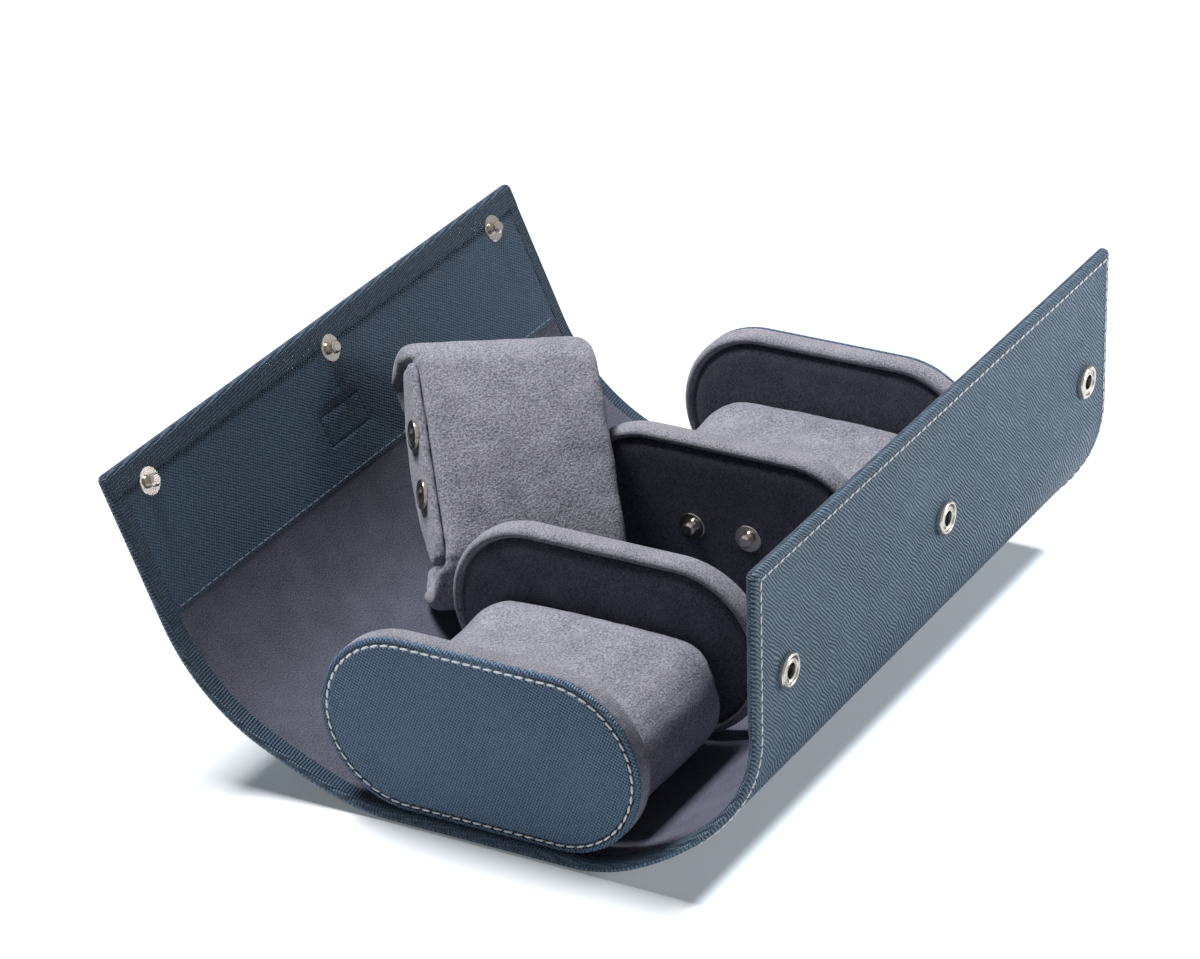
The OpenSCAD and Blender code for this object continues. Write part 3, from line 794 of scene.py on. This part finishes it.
def oval(bm, sizes, profile, centre_x, flip=1):
    """A closed oval solid from rings, each a radius and a distance along X, from one middle to the other."""
    rings, half_step = [], Matrix.Rotation(math.pi / sizes.ring, 4, "Z")
    for radius, x in profile:
        ring = bmesh.ops.create_circle(bm, segments=sizes.ring, radius=radius, matrix=half_step)["verts"]
        for vert in ring:
            y = vert.co.x + math.copysign(sizes.flat / 2, vert.co.x)
            vert.co = Vector((centre_x + flip * x, y, sizes.centre_height + vert.co.y)) * MM
        rings.append(list(dict.fromkeys(edge for vert in ring for edge in vert.link_edges)))
    for one, two in zip(rings, rings[1:]):
        bmesh.ops.bridge_loops(bm, edges=one + two)
    for ring in (rings[0], rings[-1]):
        bmesh.ops.contextual_create(bm, geom=ring)
    for face in bm.faces:
        face.smooth = True
    bmesh.ops.recalc_face_normals(bm, faces=bm.faces)


def divider_places(sizes):
    """Name, place and what each side of the four dividers has."""
    names = (("near_end_panel", "face", "pad"), ("divider_a", "pad", "pad"),
             ("divider_b", "pad", "pad"), ("far_end_panel", "pad", "face"))
    return [(name, (n - 1.5) * sizes.pitch, near, far) for n, (name, near, far) in enumerate(names)]


def rim_profile(sizes, has_pad):
    """Half profile of a divider's suede body, from its middle out to its widest line: a soft rim, a recess."""
    half, recess = sizes.half_thickness, sizes.radius - sizes.rim
    if not has_pad:
        floor = half - sizes.face
        rim = sizes.radius
        return [(INNER, floor), (rim - 1.2, floor), (rim - 0.35, floor - 0.15), (rim, floor - 0.8)]
    floor = half - sizes.recess
    return [(INNER, floor), (recess - 0.5, floor), (recess, floor + 0.1), (recess + 0.02, half - 0.75),
            (recess + 0.25, half - 0.25), (recess + 0.7, half + 0.02), (recess + 1.2, half + 0.08),
            (recess + 1.7, half - 0.02), (recess + 2.2, half - 0.35), (recess + 2.6, half - 0.9),
            (recess + 2.88, half - 1.6), (sizes.radius, half - 2.4)]


def build_dividers():
    """The four oval dividers: suede bodies with a soft rim."""
    sizes = bpy.context.scene.divider_sizes
    for name, x, near, far in divider_places(sizes):
        profile = [(r, -d) for r, d in rim_profile(sizes, near == "pad")]
        profile += rim_profile(sizes, far == "pad")[::-1]
        bm = bmesh.new()
        oval(bm, sizes, profile, x)
        piece = new_piece(f"{name}_body", bm, ("divider",))
        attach(piece, "base")
        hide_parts(f"{name}_core")


def build_pads():
    """The puffy suede pads set into the dividers' faces."""
    sizes = bpy.context.scene.divider_sizes
    edge = sizes.radius - sizes.rim - 0.35
    floor, top = sizes.half_thickness - sizes.recess, sizes.half_thickness
    crown = [(r, top - 0.05 + sizes.puff * (1 - (r / edge) ** 4)) for r in (INNER, 6, 10, 14, 17, 19.5)]
    side = [(edge - 3.0, top - 0.08 + sizes.puff * 0.35), (edge - 2.2, top - 0.12), (edge - 1.5, top - 0.3),
            (edge - 0.9, top - 0.6), (edge - 0.4, top - 0.98), (edge - 0.05, top - 1.35),
            (edge - 0.1, floor + 0.02), (INNER, floor + 0.02)]
    for name, x, near, far in divider_places(sizes):
        ways = [flip for flip, what in ((-1, near), (1, far)) if what == "pad"]
        bm = bmesh.new()
        for flip in ways:
            oval(bm, sizes, crown + side, x, flip)
        piece = new_piece(f"{name}_padding", bm, ("pad",))
        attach(piece, "base")
        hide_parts(f"{name}_pads" if len(ways) == 2 else f"{name}_pad")


def build_panel_faces():
    """The stitched leather faces on the outside of both end panels."""
    sizes = bpy.context.scene.divider_sizes
    case = bpy.context.scene.case_sizes
    inner, outer, rim = sizes.half_thickness - sizes.face, sizes.half_thickness, sizes.radius
    seam = rim - sizes.stitch_inset
    # A faint crown, the groove that the thread pulls in, and a rounded edge
    profile = [(INNER, outer + 0.1), (10, outer + 0.1), (18, outer + 0.08), (seam - 1.6, outer + 0.05),
               (seam - 0.9, outer), (seam - 0.45, outer - 0.14), (seam, outer - 0.22),
               (seam + 0.45, outer - 0.14), (seam + 0.9, outer - 0.02),
               (rim - 0.95, outer - 0.03), (rim - 0.5, outer - 0.14),
               (rim - 0.18, outer - 0.36), (rim - 0.02, outer - 0.7), (rim - 0.1, inner + 0.1),
               (rim - 0.4, inner + 0.02), (INNER, inner + 0.02)]
    half, bend = sizes.flat / 2, math.pi * seam
    around = 2 * bend + 2 * sizes.flat

    def on_seam(run, across):
        """Where a point lies on an oval seam: run along it, across away from the middle, both in mm."""
        run %= around
        radius = seam + across
        if run < sizes.flat:
            return half - run, radius
        run -= sizes.flat
        if run < bend:
            angle = math.pi / 2 + run / seam
            return radius * math.cos(angle) - half, radius * math.sin(angle)
        run -= bend
        if run < sizes.flat:
            return run - half, -radius
        angle = -math.pi / 2 + (run - sizes.flat) / seam
        return radius * math.cos(angle) + half, radius * math.sin(angle)

    slant, lift = 0.08, 0.02
    for name, x, flip in (("near_end_panel", -1.5 * sizes.pitch, -1), ("far_end_panel", 1.5 * sizes.pitch, 1)):
        bm = bmesh.new()
        oval(bm, sizes, profile, x, flip)
        piece = new_piece(f"{name}_leather", bm, ("panel",))
        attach(piece, "base")
        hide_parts(f"{name}_face")
        bm = bmesh.new()
        for k in range(sizes.stitches):
            middle = around * (k + 0.5) / sizes.stitches

            def point(a, b, c):
                y, z = on_seam(middle + a, b + slant * a)
                return Vector((x + flip * (outer + lift + c), y, sizes.centre_height + z)) * MM

            add_stitch(bm, case, point)
        thread = finish_stitches(f"{name}_stitches", bm)
        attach(thread, "base")


# ---------------------------------------------------------------- cuffs

# Where the loose cuff stands: its middle in mm, and its turn from the way that a cuff lies when seated
LOOSE_AT, LOOSE_TURN = (9.9, 58.6, 45.5), (-42.4, -6.8, 135.3)


def eared(at, reach):
    """How far the loose cuff's padding moves at a place, both in mm: out past the tab at its two corners, with
    a crease that runs in from each, where the padding is pulled round the tab."""
    turn = Euler([math.radians(a) for a in LOOSE_TURN]).to_matrix()
    own = turn.inverted() @ (at - Vector(LOOSE_AT))
    corner = smoothstep((abs(own.y) - 27) / 7) * smoothstep((own.x - 12) / 14)
    crease = math.exp(-((abs(own.y) - 31.5 + 0.25 * (own.x - 26)) / 1.3) ** 2) * smoothstep((own.x - 8) / 16)
    return turn @ Vector((reach * corner - 0.9 * crease, 0, 0))


def swollen(at, end, full):
    """How far a seated cuff's padding moves at a place, in mm: out over the tab at the end, and up."""
    swell = full * smoothstep((at.x - end + 14) / 14) * smoothstep((at.z - 24) / 9)
    return Vector((swell * smoothstep((at.x - end + 4) / 4), 0, 0.55 * swell))


def soft_copy(node, name, sizes, full=0.0, ears=0.0):
    """A padded piece from a CAD solid: remeshed fine, relaxed so that its edges turn soft, with small puckers.
    full is how far, in mm, the padding swells over the tab towards the divider it is snapped to, and ears is
    how far it stands out past the loose cuff's tab at both sides."""
    source = frame["nodes"][node]
    bm = bmesh.new()
    bm.from_mesh(source.data)
    bmesh.ops.remove_doubles(bm, verts=bm.verts, dist=1e-6)
    obj = new_piece(name, bm, ("cuff",))
    remesh = obj.modifiers.new("Padding", "REMESH")
    remesh.mode = "VOXEL"
    remesh.voxel_size = sizes.voxel * MM
    bpy.context.view_layer.update()
    shaped = bpy.data.meshes.new_from_object(obj.evaluated_get(bpy.context.evaluated_depsgraph_get()))
    obj.modifiers.clear()
    obj.data = shaped
    bm = bmesh.new()
    bm.from_mesh(shaped)
    for _ in range(sizes.soften):
        bmesh.ops.smooth_vert(bm, verts=bm.verts, factor=0.5, use_axis_x=True, use_axis_y=True, use_axis_z=True)
    bm.normal_update()
    end = max(v.co.x for v in bm.verts) / MM
    for vert in bm.verts:
        at = vert.co / MM
        if ears:
            vert.co += eared(at, ears) * MM
        if full:
            vert.co += swollen(at, end, full) * MM
        # Two sizes of pucker, about 9 mm and 3 mm across
        wave = noise.noise(at * 0.11) * 0.6 + noise.noise(at * 0.3 + Vector((7, 3, 1))) * 0.3
        vert.co += vert.normal * wave * sizes.pucker * MM
    for face in bm.faces:
        face.smooth = True
    bm.to_mesh(shaped)
    bm.free()
    shaped.name = name
    shaped.materials.clear()
    shaped.materials.append(finish_for("cuff"))
    return obj


def build_cuffs():
    """Three padded cuffs with their end tabs."""
    sizes = bpy.context.scene.cuff_sizes
    for place in ("near", "loose", "far"):
        full, ears = (0, sizes.ears) if place == "loose" else (sizes.full, 0)
        padding = soft_copy(f"{place}_cuff", f"{place}_padding", sizes, full, ears)
        tab = soft_copy(f"{place}_cuff_tab", f"{place}_end_tab", sizes)
        for piece, node in ((padding, f"{place}_cuff"), (tab, f"{place}_cuff_tab")):
            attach(piece, f"{place}_cushion")
            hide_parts(node)


# ---------------------------------------------------------------- CAD nodes that stay, and the studio

def finish_hardware():
    """Nickel on the snaps and board on the stiffeners, which keep their CAD shapes."""
    for name, node in frame["nodes"].items():
        if name.endswith(("studs", "sockets")):
            key = "nickel"
        elif name.endswith("board"):
            key = "board"
        else:
            continue
        node.data.materials.clear()
        node.data.materials.append(finish_for(key))


def build_shade_discs():
    """Dark discs of painted shade inside the inner flap's three sockets."""
    roll = rolls()["right"]
    s, along = socket_places(roll)
    bm = bmesh.new()
    # Each disc of painted shade lies just over the floor of the bore that the socket covers
    depth = bpy.context.scene.case_sizes.thickness - BORE_DEPTH + 0.07
    for x in along:
        made = bmesh.ops.create_cone(bm, cap_ends=True, segments=32, radius1=2.3, radius2=2.2, depth=0.1)
        for vert in made["verts"]:
            vert.co = roll.place(x + vert.co.x, s + vert.co.y, depth + vert.co.z)
    bmesh.ops.recalc_face_normals(bm, faces=bm.faces)
    wells = new_piece("right_snap_shade_discs", bm, ("bore_shade",))
    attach(wells, "right_flap")


def build_camera():
    """The camera, fitted to the photograph's viewing angle."""
    studio, scene = bpy.context.scene.studio_sizes, bpy.context.scene
    camera = bpy.data.cameras.new("camera")
    camera.lens = studio.lens
    camera.sensor_width = 36
    camera.clip_end = 50
    eye = bpy.data.objects.new("camera", camera)
    eye.location = studio.camera_at
    about, tilt, roll = (math.radians(a) for a in studio.camera_turn)
    turn = Matrix.Rotation(about, 4, "Z") @ Matrix.Rotation(tilt, 4, "X") @ Matrix.Rotation(roll, 4, "Z")
    eye.rotation_euler = turn.to_euler()
    scene.collection.objects.link(eye)
    scene.camera = eye


def build_lights():
    """A large softbox high on the left, and a small one low on the right for the outside of the inner flap."""
    studio = bpy.context.scene.studio_sizes
    for name, at, side, power in (("key", studio.key_at, studio.key_size, studio.key_power),
                                  ("side", studio.side_at, studio.side_size, studio.side_power)):
        light = bpy.data.lights.new(name, "AREA")
        light.size = side
        light.energy = power
        lamp = bpy.data.objects.new(name, light)
        lamp.location = at
        lamp.rotation_euler = (-lamp.location).to_track_quat("-Z", "Y").to_euler()
        bpy.context.scene.collection.objects.link(lamp)


def build_room():
    """White behind the case, some of it in reflections, and hardly any light from it."""
    studio = bpy.context.scene.studio_sizes
    world = bpy.data.worlds.new("room")
    world.use_nodes = True
    bpy.context.scene.world = world
    tree = world.node_tree
    tree.nodes.clear()
    path = add(tree, "ShaderNodeLightPath")
    seen = add(tree, "ShaderNodeMath", {"operation": "MAXIMUM"},
               {0: path.outputs["Is Camera Ray"], 1: path.outputs["Is Transmission Ray"]})
    mirrored = add(tree, "ShaderNodeMath", {"operation": "MULTIPLY_ADD"},
                   {0: path.outputs["Is Glossy Ray"], 1: studio.mirrored, 2: studio.fill})
    strength = add(tree, "ShaderNodeMix", {"data_type": "FLOAT"},
                   {0: seen.outputs[0], 2: mirrored.outputs[0], 3: 1.0})
    white = add(tree, "ShaderNodeBackground", {}, {"Color": (1, 1, 1, 1), "Strength": strength.outputs[0]})
    add(tree, "ShaderNodeOutputWorld", {}, {"Surface": white.outputs[0]})


def build_studio():
    """A pale floor in a white room, two softboxes, and the camera."""
    build_camera()
    build_lights()
    build_room()
    bm = bmesh.new()
    bmesh.ops.create_grid(bm, x_segments=2, y_segments=2, size=4)
    floor = new_piece("floor", bm, ("floor",))
    floor.location = (0, 0, -0.1 * MM)
    bpy.context.scene.view_settings.view_transform = "Standard"


# ---------------------------------------------------------------- operators and panel

class CASE_OT_studio(bpy.types.Operator):
    """Make the camera, the softboxes, the white room and the floor"""
    bl_idname = "travel_case.studio"
    bl_label = "Studio"

    def execute(self, context):
        build_studio()
        return {"FINISHED"}


class CASE_OT_leather(bpy.types.Operator):
    """Make the outer leather with its turned hems"""
    bl_idname = "travel_case.leather"
    bl_label = "Outer leather"

    def execute(self, context):
        build_leather()
        return {"FINISHED"}


class CASE_OT_lining(bpy.types.Operator):
    """Make the suede lining"""
    bl_idname = "travel_case.lining"
    bl_label = "Lining"

    def execute(self, context):
        build_lining()
        return {"FINISHED"}


class CASE_OT_facing(bpy.types.Operator):
    """Make the leather facing of the outer flap"""
    bl_idname = "travel_case.facing"
    bl_label = "Flap facing"

    def execute(self, context):
        build_facing()
        return {"FINISHED"}


class CASE_OT_stitches(bpy.types.Operator):
    """Make the stitching of the wrap"""
    bl_idname = "travel_case.stitches"
    bl_label = "Stitching"

    def execute(self, context):
        build_wrap_stitches()
        return {"FINISHED"}


class CASE_OT_dividers(bpy.types.Operator):
    """Make the four oval dividers"""
    bl_idname = "travel_case.dividers"
    bl_label = "Dividers"

    def execute(self, context):
        build_dividers()
        return {"FINISHED"}


class CASE_OT_pads(bpy.types.Operator):
    """Make the pads set into the dividers"""
    bl_idname = "travel_case.pads"
    bl_label = "Divider pads"

    def execute(self, context):
        build_pads()
        return {"FINISHED"}


class CASE_OT_panel_faces(bpy.types.Operator):
    """Make the stitched leather faces of the end panels"""
    bl_idname = "travel_case.panel_faces"
    bl_label = "End panel faces"

    def execute(self, context):
        build_panel_faces()
        return {"FINISHED"}


class CASE_OT_cuffs(bpy.types.Operator):
    """Make the three padded cuffs"""
    bl_idname = "travel_case.cuffs"
    bl_label = "Cuffs"

    def execute(self, context):
        build_cuffs()
        return {"FINISHED"}


class CASE_OT_shade_discs(bpy.types.Operator):
    """Make the discs of painted shade inside the inner flap's sockets"""
    bl_idname = "travel_case.wells"
    # The socket wells are discs of painted shade
    bl_label = "Socket wells"

    def execute(self, context):
        build_shade_discs()
        return {"FINISHED"}


class CASE_OT_hardware(bpy.types.Operator):
    """Finish the snaps and the hidden boards"""
    bl_idname = "travel_case.hardware"
    bl_label = "Snaps and boards"

    def execute(self, context):
        finish_hardware()
        return {"FINISHED"}


OPERATORS = (CASE_OT_studio, CASE_OT_leather, CASE_OT_lining, CASE_OT_facing, CASE_OT_stitches,
             CASE_OT_dividers, CASE_OT_pads, CASE_OT_panel_faces, CASE_OT_cuffs, CASE_OT_shade_discs,
             CASE_OT_hardware)


class CASE_PT_sidebar(bpy.types.Panel):
    """Sizes and makers of the travel case"""
    bl_label = "Travel case"
    bl_idname = "CASE_PT_sidebar"
    bl_space_type = "VIEW_3D"
    bl_region_type = "UI"
    bl_category = "Travel case"

    def draw(self, context):
        for name, _ in GROUPS:
            group = getattr(context.scene, name)
            for key in group.bl_rna.properties.keys():
                if key not in ("rna_type", "name"):
                    self.layout.prop(group, key)
        for operator in OPERATORS:
            self.layout.operator(operator.bl_idname)


GROUPS = (("case_sizes", CaseSizes), ("divider_sizes", DividerSizes), ("cuff_sizes", CuffSizes),
          ("studio_sizes", StudioSizes), ("case_colours", CaseColours))


def register():
    """Register the classes and give the scene its sizes and colours."""
    for cls in [group for _, group in GROUPS] + list(OPERATORS) + [CASE_PT_sidebar]:
        bpy.utils.register_class(cls)
    for name, group in GROUPS:
        setattr(bpy.types.Scene, name, PointerProperty(type=group))


def unregister():
    """Undo register()."""
    for name, _ in GROUPS:
        delattr(bpy.types.Scene, name)
    for cls in [CASE_PT_sidebar] + list(OPERATORS) + [group for _, group in GROUPS]:
        bpy.utils.unregister_class(cls)


def main():
    """Run every maker in order."""
    register()
    for step in ("studio", "leather", "lining", "facing", "stitches", "dividers", "pads",
                 "panel_faces", "cuffs", "wells", "hardware"):
        getattr(bpy.ops.travel_case, step)()


if __name__ == "__main__":
    main()
